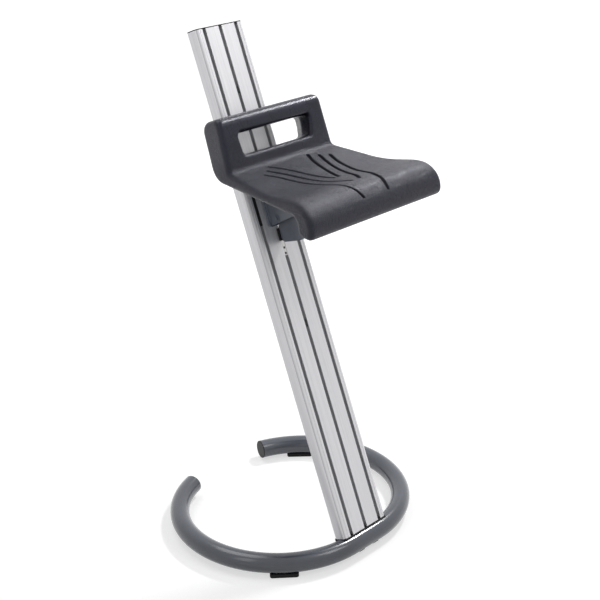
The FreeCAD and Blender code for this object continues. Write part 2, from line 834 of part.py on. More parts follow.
def grip_centre():
    level = seat_level - lever_toe_drop + lever_arm_rise + lever_arm_height / 2
    return V(0, -pin_out - lever_length + grip_radius * 0.6, level)


def lever_grip():
    middle = grip_centre()
    half = V(grip_width / 2, 0, 0)
    bar = rod(grip_radius, middle - half, middle + half)
    bar = bar.makeFillet(grip_radius * 0.45, [edge for edge in bar.Edges if len(edge.Vertexes) == 1
                                              and edge.Curve.TypeId == "Part::GeomCircle"])
    return leaning(bar).cut(release_lever())


def return_spring():
    # A coil round the pivot pin: one leg bears on the slide plate, the other hooks over the lever.
    wire = spring_wire / 2
    radius = pin_radius + pin_fit + spring_wire * 0.8
    pitch = spring_wire * 1.15
    turn = math.radians(360 * spring_turns + spring_hook_angle)
    length = pitch * turn / (2 * math.pi)
    start = V(radius, 0, 0)
    ring = Part.Wire(Part.makeCircle(wire, start, V(0, -2 * math.pi * radius, pitch)))
    helix = Part.makeHelix(pitch, length, radius, 0, True)
    coil = Part.Wire(helix.Edges).makePipeShell([ring], True, True)
    end = V(radius * math.cos(turn), -radius * math.sin(turn), length)
    corner = end + V(-math.sin(turn), -math.cos(turn), 0) * spring_hook_length
    legs = [rod(wire, start, start + V(0, spring_leg_length, 0)), rod(wire, end, corner),
            Part.makeSphere(wire, corner), rod(wire, corner, corner - V(0, 0, spring_hook_width)),
            Part.makeSphere(wire, start), Part.makeSphere(wire, end)]
    spring = coil.fuse(legs).removeSplitter()
    lean_back = -math.radians(spring_leg_angle)
    across = V(0, math.cos(lean_back), math.sin(lean_back))
    up = V(0, -math.sin(lean_back), math.cos(lean_back))
    centre = V(lever_thickness / 2 + spring_wire * 0.75, -pin_out, seat_level - pin_drop)
    spring.Placement = FreeCAD.Placement(centre, FreeCAD.Rotation(across, up, V(1, 0, 0), "ZXY"))
    return leaning(spring)


parts = {
    "base_tube": base_tube(),
    "tube_end_cap_left": tube_end_cap(-1),
    "tube_end_cap_right": tube_end_cap(1),
    "foot_screws": foot_screws(),
    "column_profile": column_profile(),
    "column_top_cap": column_top_cap(),
    "column_saddle": column_saddle(),
    "column_bolts": column_bolts(),
    "saddle_washers": saddle_washers(),
    "access_plugs": access_plugs(),
    "travel_stops": travel_stops(),
    "carriage_plate": carriage_plate(),
    "glide_pads": glide_pads(),
    "guide_shoe_left": guide_shoe(-1),
    "guide_shoe_right": guide_shoe(1),
    "shoe_screws": shoe_screws(),
    "slide_bar": slide_bar(),
    "slide_bar_screws": slide_bar_screws(),
    "bar_set_screws": bar_set_screws(),
    "gusset_left": gusset(-1),
    "gusset_right": gusset(1),
    "seat_support_plate": seat_support_plate(),
    "pivot_pin": pivot_pin(),
    "pin_clips": pin_clips(),
    "seat_shell": seat_shell(),
    "seat_insert": seat_insert(),
    "seat_washers": seat_washers(),
    "seat_bolts": seat_bolts(),
    "release_lever": release_lever(),
    "brake_pad": brake_pad(),
    "lever_grip": lever_grip(),
    "return_spring": return_spring(),
}
for place_name, foot_angle, foot_side in foot_places():
    parts["foot_pad_" + place_name] = foot_pad(foot_angle, foot_side)

# The stool's origin is on the floor, under the middle of its bounding box.
whole = Part.makeCompound(list(parts.values()))
extent = whole.optimalBoundingBox(False, False)
to_origin = V(0, -(extent.YMin + extent.YMax) / 2, 0)

os.makedirs("parts", exist_ok=True)
for name, shape in parts.items():
    shape.translate(to_origin)
    shape.exportStep("parts/" + name + ".step")
    print(name, "solids", len(shape.Solids), "valid", shape.isValid(), "cm3", round(shape.Volume / 1000, 1))
print("origin shift", round(to_origin.y, 3))
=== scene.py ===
import math
import bpy
import bmesh
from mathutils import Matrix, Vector
from mathutils.bvhtree import BVHTree
from mathutils.kdtree import KDTree


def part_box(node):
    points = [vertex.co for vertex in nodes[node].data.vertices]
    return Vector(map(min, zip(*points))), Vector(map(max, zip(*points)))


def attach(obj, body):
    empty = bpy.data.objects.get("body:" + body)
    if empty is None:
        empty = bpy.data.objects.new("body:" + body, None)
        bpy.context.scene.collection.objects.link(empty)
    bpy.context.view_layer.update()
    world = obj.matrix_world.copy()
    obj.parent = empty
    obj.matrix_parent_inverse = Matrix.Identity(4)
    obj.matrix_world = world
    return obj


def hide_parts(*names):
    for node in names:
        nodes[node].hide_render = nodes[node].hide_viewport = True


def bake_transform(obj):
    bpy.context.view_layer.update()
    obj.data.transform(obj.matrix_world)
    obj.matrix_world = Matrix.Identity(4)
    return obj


# A perch stool: foam seat on a bracket that slides on a leaning aluminium column, over a bent tube base.
# Everything is in metres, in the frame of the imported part.
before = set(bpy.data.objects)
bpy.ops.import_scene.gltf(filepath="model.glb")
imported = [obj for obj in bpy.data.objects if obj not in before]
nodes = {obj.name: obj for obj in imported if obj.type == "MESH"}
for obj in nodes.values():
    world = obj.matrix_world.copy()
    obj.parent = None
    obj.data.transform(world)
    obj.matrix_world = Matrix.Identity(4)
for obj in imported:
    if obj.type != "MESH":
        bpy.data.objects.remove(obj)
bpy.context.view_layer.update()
print("frame loaded:", len(nodes), "nodes")

stance = {
    "lean": 22.3,  # degrees from upright
    "ringReach": 0.219,  # from the ring's middle to the outside of its front
    "footReach": 0.21064,  # from the ring's middle to the column's foot
    "footHeight": 0.02887,
}
lean = math.radians(stance["lean"])
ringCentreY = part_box("base_tube")[0][1] + stance["ringReach"]
columnFoot = Vector((0.0, ringCentreY - stance["footReach"], stance["footHeight"]))
columnUp = Vector((0.0, math.sin(lean), math.cos(lean)))
columnIn = Vector((0.0, math.cos(lean), -math.sin(lean)))
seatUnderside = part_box("seat_support_plate")[1][2]
seatLevel = (seatUnderside - columnFoot.z) / math.cos(lean)


def onColumn(x, depth, along):
    # A place beside the column: across, into it from its face, and up along it.
    return columnFoot + Vector((x, 0, 0)) + columnIn * depth + columnUp * along


class Sketch:
    # Short calls for building one node tree.
    def __init__(self, tree):
        self.tree = tree

    def add(self, kind, **settings):
        node = self.tree.nodes.new(kind)
        for name, value in settings.items():
            if name.startswith("in_"):
                node.inputs[name[3:].replace("_", " ")].default_value = value
            else:
                setattr(node, name, value)
        return node

    def link(self, start, end):
        self.tree.links.new(start, end)

    def feed(self, value, socket):
        if hasattr(value, "is_output"):
            self.link(value, socket)
        else:
            socket.default_value = value

    def place(self):
        # Where a point lies on its piece, in metres.
        return self.add("ShaderNodeTexCoord").outputs["Object"]

    def along(self, place, direction):
        # How far a place lies along a fixed direction.
        node = self.add("ShaderNodeVectorMath", operation="DOT_PRODUCT")
        self.link(place, node.inputs[0])
        node.inputs[1].default_value = direction
        return node.outputs["Value"]

    def sum(self, operation, first, second=0.0):
        node = self.add("ShaderNodeMath", operation=operation)
        self.feed(first, node.inputs[0])
        self.feed(second, node.inputs[1])
        return node.outputs[0]

    def remap(self, value, low, high, toLow, toHigh):
        node = self.add("ShaderNodeMapRange")
        self.feed(value, node.inputs["Value"])
        self.feed(low, node.inputs["From Min"])
        self.feed(high, node.inputs["From Max"])
        self.feed(toLow, node.inputs["To Min"])
        self.feed(toHigh, node.inputs["To Max"])
        return node.outputs["Result"]

    def spread(self, noise, low, high):
        # Most of a noise lies between 0.3 and 0.7; that part is stretched over low to high.
        return self.remap(noise, 0.3, 0.7, low, high)

    def blendColour(self, factor, first, second, blendType="MIX"):
        node = self.add("ShaderNodeMix", data_type="RGBA", blend_type=blendType)
        self.feed(factor, node.inputs[0])
        self.feed(first, node.inputs[6])
        self.feed(second, node.inputs[7])
        return node.outputs[2]

    def toned(self, colour, tone):
        # The colour, darkened or lightened by a fixed tone.
        return self.blendColour(1.0, colour, (*tone, 1), "MULTIPLY")

    def scaled(self, colour, factor):
        node = self.add("ShaderNodeVectorMath", operation="SCALE")
        self.link(colour, node.inputs[0])
        self.link(factor, node.inputs["Scale"])
        return node.outputs[0]

    def noise(self, vector, scale, detail=3.0, roughness=0.5):
        node = self.add("ShaderNodeTexNoise", in_Detail=detail, in_Roughness=roughness)
        self.feed(scale, node.inputs["Scale"])
        self.link(vector, node.inputs["Vector"])
        return node.outputs["Fac"]


cameraPlan = {
    "offset": (-1.6713, -1.6460, 1.4825),  # from the middle of the ring, at floor level
    "azimuth": -46.767,
    "elevation": 21.468,
    "lens": 79.76,
    "sensor": 36,
    "shift": (-0.0297, -0.0752),
}

studioPlan = {
    "ambient": 0.25,
    "floorColour": 0.50,
    "floorReach": 9.0,
    "floorRoughness": 0.7,
    "floorShine": 0.1,
    "liftSpan": (0.5, 2.0),  # how far from the stool the floor turns white
    "floorLift": (0.60, 0.99),  # inside that span, and beyond it
    "lamps": {
        "keyLamp": {"place": (0.75, -1.55, 2.40), "aim": (0, 0.1, 1.1), "size": (1.0, 1.0), "power": 11},
        "skyLamp": {"place": (-0.3, 0.9, 2.7), "aim": (0, 0, 0.5), "size": (1.8, 1.2), "power": 17},
        "sideLamp": {"place": (-2.3, -0.3, 2.0), "aim": (0, 0, 0.9), "size": (0.7, 1.6), "power": 5},
        "rimLamp": {"place": (1.55, 0.14, 2.06), "aim": (0.05, -0.15, 0.75), "size": (0.36, 0.20), "power": 34},
    },
}


def addCamera(plan):
    data = bpy.data.cameras.new("camera")
    data.sensor_width = plan["sensor"]
    data.lens = plan["lens"]
    data.shift_x, data.shift_y = plan["shift"]
    camera = bpy.data.objects.new("camera", data)
    camera.location = Vector(plan["offset"]) + Vector((0, ringCentreY, 0))
    camera.rotation_euler = (math.radians(90 - plan["elevation"]), 0, math.radians(plan["azimuth"]))
    bpy.context.collection.objects.link(camera)
    bpy.context.scene.camera = camera


def seenRays(sketch):
    # 1 for rays that the camera, a glossy surface or a clear one sends, 0 for the rest.
    path = sketch.add("ShaderNodeLightPath").outputs
    seen = sketch.sum("MAXIMUM", path["Is Camera Ray"], path["Is Glossy Ray"])
    return sketch.sum("MAXIMUM", seen, path["Is Transmission Ray"])


def addWorld(plan):
    world = bpy.data.worlds.new("studio")
    bpy.context.scene.world = world
    world.use_nodes = True
    sketch = Sketch(world.node_tree)
    background = world.node_tree.nodes["Background"]
    background.inputs["Color"].default_value = (1, 1, 1, 1)
    strength = sketch.remap(seenRays(sketch), 0.0, 1.0, plan["ambient"], 1.0)
    sketch.link(strength, background.inputs["Strength"])


def addLamps(plan):
    for name, lamp in plan["lamps"].items():
        data = bpy.data.lights.new(name, "AREA")
        data.shape = "RECTANGLE"
        data.size, data.size_y = lamp["size"]
        data.energy = lamp["power"]
        light = bpy.data.objects.new(name, data)
        light.location = lamp["place"]
        aim = Vector(lamp["aim"]) - light.location
        light.rotation_euler = aim.to_track_quat("-Z", "Y").to_euler()
        bpy.context.collection.objects.link(light)


def addFloor(plan):
    mesh = bpy.data.meshes.new("studioFloor")
    reach = plan["floorReach"]
    mesh.from_pydata([(-reach, -reach, 0), (reach, -reach, 0), (reach, reach, 0), (-reach, reach, 0)], [],
                     [(0, 1, 2, 3)])
    floor = bpy.data.objects.new("studioFloor", mesh)
    bpy.context.collection.objects.link(floor)
    material = bpy.data.materials.new("paleFloor")
    material.use_nodes = True
    sketch = Sketch(material.node_tree)
    shader = material.node_tree.nodes["Principled BSDF"]
    tone = plan["floorColour"]
    shader.inputs["Base Color"].default_value = (tone, tone, tone, 1)
    shader.inputs["Roughness"].default_value = plan["floorRoughness"]
    shader.inputs["Specular IOR Level"].default_value = plan["floorShine"]
    distance = sketch.add("ShaderNodeVectorMath", operation="LENGTH")
    sketch.link(sketch.place(), distance.inputs[0])
    lift = sketch.remap(distance.outputs["Value"], *plan["liftSpan"], *plan["floorLift"])
    sketch.link(sketch.sum("MULTIPLY", seenRays(sketch), lift), shader.inputs["Emission Color"])
    shader.inputs["Emission Strength"].default_value = 1.0
    mesh.materials.append(material)


addCamera(cameraPlan)
addWorld(studioPlan)
addLamps(studioPlan)
addFloor(studioPlan)
bpy.context.scene.view_settings.view_transform = "Standard"
print("studio set")


socketKinds = {"value": "NodeSocketFloat", "colour": "NodeSocketColor"}


def newGroup(name, inputs, outputs):
    tree = bpy.data.node_groups.new(name, "ShaderNodeTree")
    for label, kind, value in inputs:
        socket = tree.interface.new_socket(label, in_out="INPUT", socket_type=socketKinds[kind])
        socket.default_value = value
    for label, kind in outputs:
        tree.interface.new_socket(label, in_out="OUTPUT", socket_type=socketKinds[kind])
    sketch = Sketch(tree)
    start = tree.nodes.new("NodeGroupInput")
    end = tree.nodes.new("NodeGroupOutput")
    return sketch, start.outputs, end.inputs


skinResults = [("Colour", "colour"), ("Roughness", "value"), ("Height", "value")]

paintLook = {
    "fineToPeel": 4.0,  # fine grains across one bump of the peel
    "fineHeight": 0.25,
    "cloudScale": 9.0,
    "dark": (0.80, 0.80, 0.81),
    "light": (1.14, 1.14, 1.13),
    "roughness": (-0.05, 0.07),
}


def buildPowderCoat(look):
    # Orange-peel skin of baked paint, with faint cloudiness.
    sketch, given, result = newGroup(
        "powderCoatSkin",
        [("Colour", "colour", (0.1, 0.1, 0.1, 1)), ("Peel Size", "value", 0.003), ("Gloss", "value", 0.35)],
        skinResults)
    place = sketch.place()
    peel = sketch.noise(place, sketch.sum("DIVIDE", 1.0, given["Peel Size"]), detail=2.0, roughness=0.4)
    fine = sketch.noise(place, sketch.sum("DIVIDE", look["fineToPeel"], given["Peel Size"]), detail=2.0)
    cloud = sketch.noise(place, look["cloudScale"], detail=4.0, roughness=0.6)
    dark = sketch.toned(given["Colour"], look["dark"])
    light = sketch.toned(given["Colour"], look["light"])
    sketch.link(sketch.blendColour(sketch.spread(cloud, 0.0, 1.0), dark, light), result["Colour"])
    varied = sketch.sum("ADD", given["Gloss"], sketch.spread(fine, *look["roughness"]))
    sketch.link(varied, result["Roughness"])
    height = sketch.sum("ADD", peel, sketch.sum("MULTIPLY", fine, look["fineHeight"]))
    sketch.link(height, result["Height"])
    return sketch.tree


leatherLook = {
    "driftScale": 420.0,
    "drift": 0.0012,  # how far the pebbles' pattern is bent
    "creaseWidth": 0.28,  # between pebbles, as a share of a pebble
    "fineScale": 2600.0,
    "fineHeight": 0.30,
    "broadScale": 26.0,
    "broadSpan": (0.35, 0.7),
    "plainFade": 0.85,
    "dark": (0.84, 0.84, 0.84),
    "light": (1.20, 1.20, 1.20),
    # painted shade: how dark the creases between pebbles are made
    "crease": (0.50, 0.50, 0.50),
    "creaseRoughness": 0.22,
    "roughness": (-0.05, 0.05),
}


def buildMouldedLeather(look):
    # Pebbled skin pressed into foam; Plain turns it down to the smoother skin of the handle.
    sketch, given, result = newGroup(
        "mouldedLeather",
        [("Colour", "colour", (0.05, 0.05, 0.05, 1)), ("Pebble Size", "value", 0.002),
         ("Plain", "value", 0.0), ("Gloss", "value", 0.45)],
        skinResults)
    place = sketch.place()
    drift = sketch.add("ShaderNodeTexNoise", in_Scale=look["driftScale"], in_Detail=2.0)
    sketch.link(place, drift.inputs["Vector"])
    bent = sketch.add("ShaderNodeVectorMath", operation="MULTIPLY_ADD")
    sketch.link(drift.outputs["Color"], bent.inputs[0])
    bent.inputs[1].default_value = (look["drift"], look["drift"], look["drift"])
    sketch.link(place, bent.inputs[2])
    pebble = sketch.add("ShaderNodeTexVoronoi", feature="DISTANCE_TO_EDGE")
    sketch.link(bent.outputs[0], pebble.inputs["Vector"])
    sketch.link(sketch.sum("DIVIDE", 1.0, given["Pebble Size"]), pebble.inputs["Scale"])
    raised = sketch.remap(pebble.outputs["Distance"], 0.0, look["creaseWidth"], 0.0, 1.0)
    fine = sketch.noise(place, look["fineScale"], detail=2.0, roughness=0.6)
    broad = sketch.noise(place, look["broadScale"], detail=4.0, roughness=0.6)
    strength = sketch.sum("SUBTRACT", 1.0, sketch.sum("MULTIPLY", given["Plain"], look["plainFade"]))
    pebbled = sketch.sum("MULTIPLY", raised, strength)
    height = sketch.sum("ADD", pebbled, sketch.sum("MULTIPLY", fine, look["fineHeight"]))
    sketch.link(height, result["Height"])
    crease = sketch.sum("MULTIPLY", sketch.sum("SUBTRACT", 1.0, raised), strength)
    worn = sketch.blendColour(sketch.remap(broad, *look["broadSpan"], 0.0, 1.0),
                              sketch.toned(given["Colour"], look["dark"]),
                              sketch.toned(given["Colour"], look["light"]))
    # Painted shade: the creases between the pebbles are darkened.
    sunk = sketch.toned(given["Colour"], look["crease"])
    sketch.link(sketch.blendColour(crease, worn, sunk), result["Colour"])
    rough = sketch.sum("ADD", given["Gloss"], sketch.sum("MULTIPLY", crease, look["creaseRoughness"]))
    sketch.link(sketch.sum("ADD", rough, sketch.spread(broad, *look["roughness"])), result["Roughness"])
    return sketch.tree


drawnLook = {
    "stretch": (1.0, 1.0, 0.006),  # draws the noise out into lines
    "broadScale": 160.0,
    "broadShare": 0.45,
    "fineScale": 1500.0,
    "fineShare": 0.55,
    "lineSpan": (0.36, 0.64),
    "shade": (0.90, 1.08),
    "lineRoughness": 0.06,
    "gritScale": 2400.0,
    "gritRoughness": (-0.03, 0.03),
    "gritHeight": 0.3,
}


def buildDrawnMetal(look):
    # Fine lines that run along a part as it left the die, under a satin anodised skin.
    sketch, given, result = newGroup(
        "drawnMetal",
        [("Colour", "colour", (0.6, 0.6, 0.6, 1)), ("Gloss", "value", 0.35), ("Line Strength", "value", 1.0),
         ("Tilt", "value", 0.0)],
        skinResults)
    place = sketch.place()
    turn = sketch.add("ShaderNodeVectorRotate", rotation_type="X_AXIS")
    sketch.link(place, turn.inputs["Vector"])
    sketch.link(given["Tilt"], turn.inputs["Angle"])
    stretched = sketch.add("ShaderNodeVectorMath", operation="MULTIPLY")
    sketch.link(turn.outputs[0], stretched.inputs[0])
    stretched.inputs[1].default_value = look["stretch"]
    broad = sketch.noise(stretched.outputs[0], look["broadScale"], detail=3.0, roughness=0.6)
    fine = sketch.noise(stretched.outputs[0], look["fineScale"], detail=3.0, roughness=0.65)
    grit = sketch.noise(place, look["gritScale"], detail=2.0)
    lines = sketch.sum("ADD", sketch.sum("MULTIPLY", broad, look["broadShare"]),
                       sketch.sum("MULTIPLY", fine, look["fineShare"]))
    amount = sketch.sum("MULTIPLY", sketch.remap(lines, *look["lineSpan"], -1.0, 1.0), given["Line Strength"])
    shade = sketch.remap(amount, -1.0, 1.0, *look["shade"])
    sketch.link(sketch.scaled(given["Colour"], shade), result["Colour"])
    rough = sketch.sum("ADD", given["Gloss"], sketch.sum("MULTIPLY", amount, look["lineRoughness"]))
    sketch.link(sketch.sum("ADD", rough, sketch.spread(grit, *look["gritRoughness"])), result["Roughness"])
    height = sketch.sum("ADD", lines, sketch.sum("MULTIPLY", grit, look["gritHeight"]))
    sketch.link(height, result["Height"])
    return sketch.tree


sparkLook = {
    "shade": (0.82, 1.12),
    "cloudScale": 40.0,
    "cloud": (-0.1, 0.1),
    "roughness": (-0.08, 0.08),
}


def buildSparkGrain(look):
    # Spark-eroded texture of moulded plastic or rubber.
    sketch, given, result = newGroup(
        "sparkGrain",
        [("Colour", "colour", (0.03, 0.03, 0.03, 1)), ("Grain Size", "value", 0.0008), ("Gloss", "value", 0.5)],
        skinResults)
    place = sketch.place()
    grain = sketch.noise(place, sketch.sum("DIVIDE", 1.0, given["Grain Size"]), detail=4.0, roughness=0.6)
    broad = sketch.noise(place, look["cloudScale"], detail=3.0, roughness=0.6)
    shade = sketch.sum("ADD", sketch.spread(grain, *look["shade"]), sketch.spread(broad, *look["cloud"]))
    sketch.link(sketch.scaled(given["Colour"], shade), result["Colour"])
    varied = sketch.sum("ADD", given["Gloss"], sketch.spread(grain, *look["roughness"]))
    sketch.link(varied, result["Roughness"])
    sketch.link(grain, result["Height"])
    return sketch.tree


wearLook = {
    "smearScale": 55.0,
    "smearSpan": (0.52, 0.72),
    "polish": 0.07,  # how much smoother a rubbed place is
    "upwardFrom": 0.35,  # dust settles on faces that look up more than this
    "speckScale": 900.0,
    "speckSpan": (0.56, 0.74),
    "dustColour": (0.42, 0.42, 0.41),
    "dustCover": 0.35,
    "dustRoughness": 0.2,
}


def buildUseWear(look):
    # Faint rubbing marks and settled dust; the last thing over every finish.
    sketch, given, result = newGroup(
        "useWear",
        [("Colour", "colour", (0.5, 0.5, 0.5, 1)), ("Roughness", "value", 0.4), ("Rubbing", "value", 0.5),
         ("Dust", "value", 0.3)],
        [("Colour", "colour"), ("Roughness", "value")])
    place = sketch.place()
    smear = sketch.noise(place, look["smearScale"], detail=5.0, roughness=0.7)
    rubbed = sketch.sum("MULTIPLY", sketch.remap(smear, *look["smearSpan"], 0.0, 1.0), given["Rubbing"])
    facing = sketch.add("ShaderNodeSeparateXYZ")
    sketch.link(sketch.add("ShaderNodeNewGeometry").outputs["Normal"], facing.inputs[0])
    upward = sketch.remap(facing.outputs["Z"], look["upwardFrom"], 1.0, 0.0, 1.0)
    speck = sketch.noise(place, look["speckScale"], detail=2.0, roughness=0.7)
    speck = sketch.remap(speck, *look["speckSpan"], 0.0, 1.0)
    dusty = sketch.sum("MULTIPLY", sketch.sum("MULTIPLY", upward, speck), given["Dust"])
    cover = sketch.sum("MULTIPLY", dusty, look["dustCover"])
    sketch.link(sketch.blendColour(cover, given["Colour"], (*look["dustColour"], 1)), result["Colour"])
    polished = sketch.sum("SUBTRACT", given["Roughness"], sketch.sum("MULTIPLY", rubbed, look["polish"]))
    dulled = sketch.sum("ADD", polished, sketch.sum("MULTIPLY", dusty, look["dustRoughness"]))
    sketch.link(dulled, result["Roughness"])
    return sketch.tree


groups = {
    "paint": buildPowderCoat(paintLook),
    "leather": buildMouldedLeather(leatherLook),
    "drawn": buildDrawnMetal(drawnLook),
    "spark": buildSparkGrain(sparkLook),
    "wear": buildUseWear(wearLook),
}
print("shader groups built:", len(groups))

# relief is the height of the bump, round the softness of an edge, both in metres.
finishPlan = {
    "ringPaint": {"skin": "paint", "colour": (0.080, 0.089, 0.112), "Peel Size": 0.004, "Gloss": 0.20,
                  "relief": 0.00006, "coat": 0.35, "rubbing": 0.5, "dust": 0.25, "round": 0.0},
    "bracketPaint": {"skin": "paint", "colour": (0.148, 0.166, 0.205), "Peel Size": 0.003, "Gloss": 0.36,
                     "relief": 0.00005, "coat": 0.15, "rubbing": 0.6, "dust": 0.3, "round": 0.0006},
    "blackPlastic": {"skin": "spark", "colour": (0.014, 0.014, 0.016), "Grain Size": 0.0009, "Gloss": 0.48,
                     "shine": 0.3, "relief": 0.00004, "rubbing": 0.5, "dust": 0.4, "round": 0.0004},
    "blackRubber": {"skin": "spark", "colour": (0.010, 0.010, 0.011), "Grain Size": 0.0012, "Gloss": 0.72,
                    "shine": 0.25, "relief": 0.00006, "rubbing": 0.2, "dust": 0.8, "round": 0.0006},
    "zincSteel": {"skin": "drawn", "colour": (0.56, 0.56, 0.55), "Line Strength": 0.4, "Gloss": 0.34,
                  "relief": 0.00001, "metal": 0.9, "rubbing": 0.4, "dust": 0.2, "round": 0.0003},
    "naturalAluminium": {"skin": "drawn", "colour": (0.79, 0.785, 0.81), "Line Strength": 1.0, "Gloss": 0.42,
                         "Tilt": lean, "relief": 0.000012, "metal": 0.45, "rubbing": 0.6, "dust": 0.15,
                         "round": 0.0003, "slots": True},
    "blackenedSteel": {"skin": "drawn", "colour": (0.05, 0.055, 0.06), "Line Strength": 0.3, "Gloss": 0.4,
                       "relief": 0.00001, "metal": 0.6, "rubbing": 0.4, "dust": 0.2, "round": 0.0003},
}

# Painted shade inside the column's slots.
slotShade = {
    "start": 0.0012,  # how deep behind the column's face the shade sets in
    "full": 0.0045,  # and where it is full
    "halfWidth": 0.0575,
    "backSkin": 0.0015,  # the outside of the column's back keeps its own colour
    "tone": (0.34, 0.34, 0.35),
}
coatRoughness = 0.12
bevelSamples = 4


def shadeSlots(sketch, colour):
    # Painted shade: the inside of the column's slots is darkened, where shade falls in the recesses.
    place = sketch.place()
    inward = sketch.along(place, columnIn)
    face = columnFoot.dot(columnIn)
    deep = sketch.remap(inward, face + slotShade["start"], face + slotShade["full"], 0.0, 1.0)
    across = sketch.add("ShaderNodeSeparateXYZ")
    sketch.link(place, across.inputs[0])
    middle = sketch.sum("LESS_THAN", sketch.sum("ABSOLUTE", across.outputs["X"]), slotShade["halfWidth"])
    back = max((vertex.co - columnFoot).dot(columnIn) for vertex in nodes["column_profile"].data.vertices)
    inside = sketch.sum("LESS_THAN", inward, face + back - slotShade["backSkin"])
    shaded = sketch.sum("MULTIPLY", deep, sketch.sum("MULTIPLY", middle, inside))
    return sketch.blendColour(shaded, colour, sketch.toned(colour, slotShade["tone"]))


def startFinish(name, plan):
    # A material with its skin group, the wear group over it, and a bump for the skin's height.
    material = bpy.data.materials.new(name)
    material.use_nodes = True
    sketch = Sketch(material.node_tree)
    shader = material.node_tree.nodes["Principled BSDF"]
    skin = sketch.add("ShaderNodeGroup", node_tree=groups[plan["skin"]])
    skin.inputs["Colour"].default_value = (*plan["colour"], 1)
    for socket in skin.inputs:
        if socket.name in plan:
            socket.default_value = plan[socket.name]
    wear = sketch.add("ShaderNodeGroup", node_tree=groups["wear"])
    wear.inputs["Rubbing"].default_value = plan["rubbing"]
    wear.inputs["Dust"].default_value = plan["dust"]
    sketch.link(skin.outputs["Colour"], wear.inputs["Colour"])
    sketch.link(skin.outputs["Roughness"], wear.inputs["Roughness"])
    bump = sketch.add("ShaderNodeBump", in_Strength=1.0, in_Distance=plan["relief"])
    sketch.link(skin.outputs["Height"], bump.inputs["Height"])
    sketch.link(bump.outputs[0], shader.inputs["Normal"])
    return material, sketch, shader, skin, wear, bump


def finish(name, plan):
    material, sketch, shader, _, wear, bump = startFinish(name, plan)
    colour = wear.outputs["Colour"]
    if plan.get("slots"):
        colour = shadeSlots(sketch, colour)
    sketch.link(colour, shader.inputs["Base Color"])
    sketch.link(wear.outputs["Roughness"], shader.inputs["Roughness"])
    if plan["round"]:
        edge = sketch.add("ShaderNodeBevel", samples=bevelSamples, in_Radius=plan["round"])
        sketch.link(edge.outputs[0], bump.inputs["Normal"])
    shader.inputs["Metallic"].default_value = plan.get("metal", 0.0)
    shader.inputs["Specular IOR Level"].default_value = plan.get("shine", 0.5)
    shader.inputs["Coat Weight"].default_value = plan.get("coat", 0.0)
    shader.inputs["Coat Roughness"].default_value = coatRoughness
    return material


finishes = {name: finish(name, plan) for name, plan in finishPlan.items()}

seatSkinPlan = {
    "skin": "leather",
    "colour": (0.018, 0.018, 0.029),
    "Pebble Size": 0.0030,
    "Gloss": 0.26,
    "shine": 0.34,
    "tint": (0.84, 0.85, 1.0),
    "relief": 0.00038,
    "rubbing": 0.7,
    "dust": 0.12,
    "grooveShade": (0.08, 0.08, 0.09),  # painted shade in a groove: how much of the colour is left there
    "grooveRoughness": 0.25,  # how much rougher a groove is
    "handleStart": 0.012,  # above the seat's underside, along the column, where the grain fades out
    "handleEnd": 0.045,
}


def finishSeat(plan):
    material, sketch, shader, skin, wear, _ = startFinish("seatSkin", plan)
    along = sketch.along(sketch.place(), columnUp)
    foot = columnFoot.dot(columnUp) + seatLevel
    plain = sketch.remap(along, foot + plan["handleStart"], foot + plan["handleEnd"], 0.0, 1.0)
    sketch.link(plain, skin.inputs["Plain"])
    # Painted shade in the grooves, following the share kept on the seat as sunk.
    sunk = sketch.add("ShaderNodeAttribute", attribute_name="sunk").outputs["Fac"]
    shaded = sketch.toned(wear.outputs["Colour"], plan["grooveShade"])
    sketch.link(sketch.blendColour(sunk, wear.outputs["Colour"], shaded), shader.inputs["Base Color"])
    rougher = sketch.sum("MULTIPLY", sunk, plan["grooveRoughness"])
    sketch.link(sketch.sum("ADD", wear.outputs["Roughness"], rougher), shader.inputs["Roughness"])
    shader.inputs["Specular IOR Level"].default_value = plan["shine"]
    shader.inputs["Specular Tint"].default_value = (*plan["tint"], 1)
    return material


finishes["seatSkin"] = finishSeat(seatSkinPlan)

nodeFinish = {
    "naturalAluminium": ["column_profile"],
    "ringPaint": ["base_tube"],
    "bracketPaint": ["carriage_plate", "gusset_left", "gusset_right", "seat_support_plate", "release_lever",
                     "pivot_pin", "pin_clips"],
    "blackRubber": ["foot_pad_front_left", "foot_pad_front_right", "foot_pad_rear_left", "foot_pad_rear_right",
                    "brake_pad"],
    "blackPlastic": ["tube_end_cap_left", "tube_end_cap_right", "column_top_cap", "column_saddle",
                     "access_plugs", "glide_pads", "guide_shoe_left", "guide_shoe_right", "lever_grip"],
    "blackenedSteel": ["bar_set_screws", "slide_bar_screws", "shoe_screws", "travel_stops", "return_spring"],
}


def dressNodes():
    # A node that isn't listed is plain zinc-plated steel.
    finishOf = {node: name for name, listed in nodeFinish.items() for node in listed}
    for name, node in nodes.items():
        material = finishes[finishOf.get(name, "zincSteel")]
        for place in node.material_slots:
            place.material = material
        if not node.material_slots:
            node.data.materials.append(material)


dressNodes()
print("nodes dressed:", len(nodes))

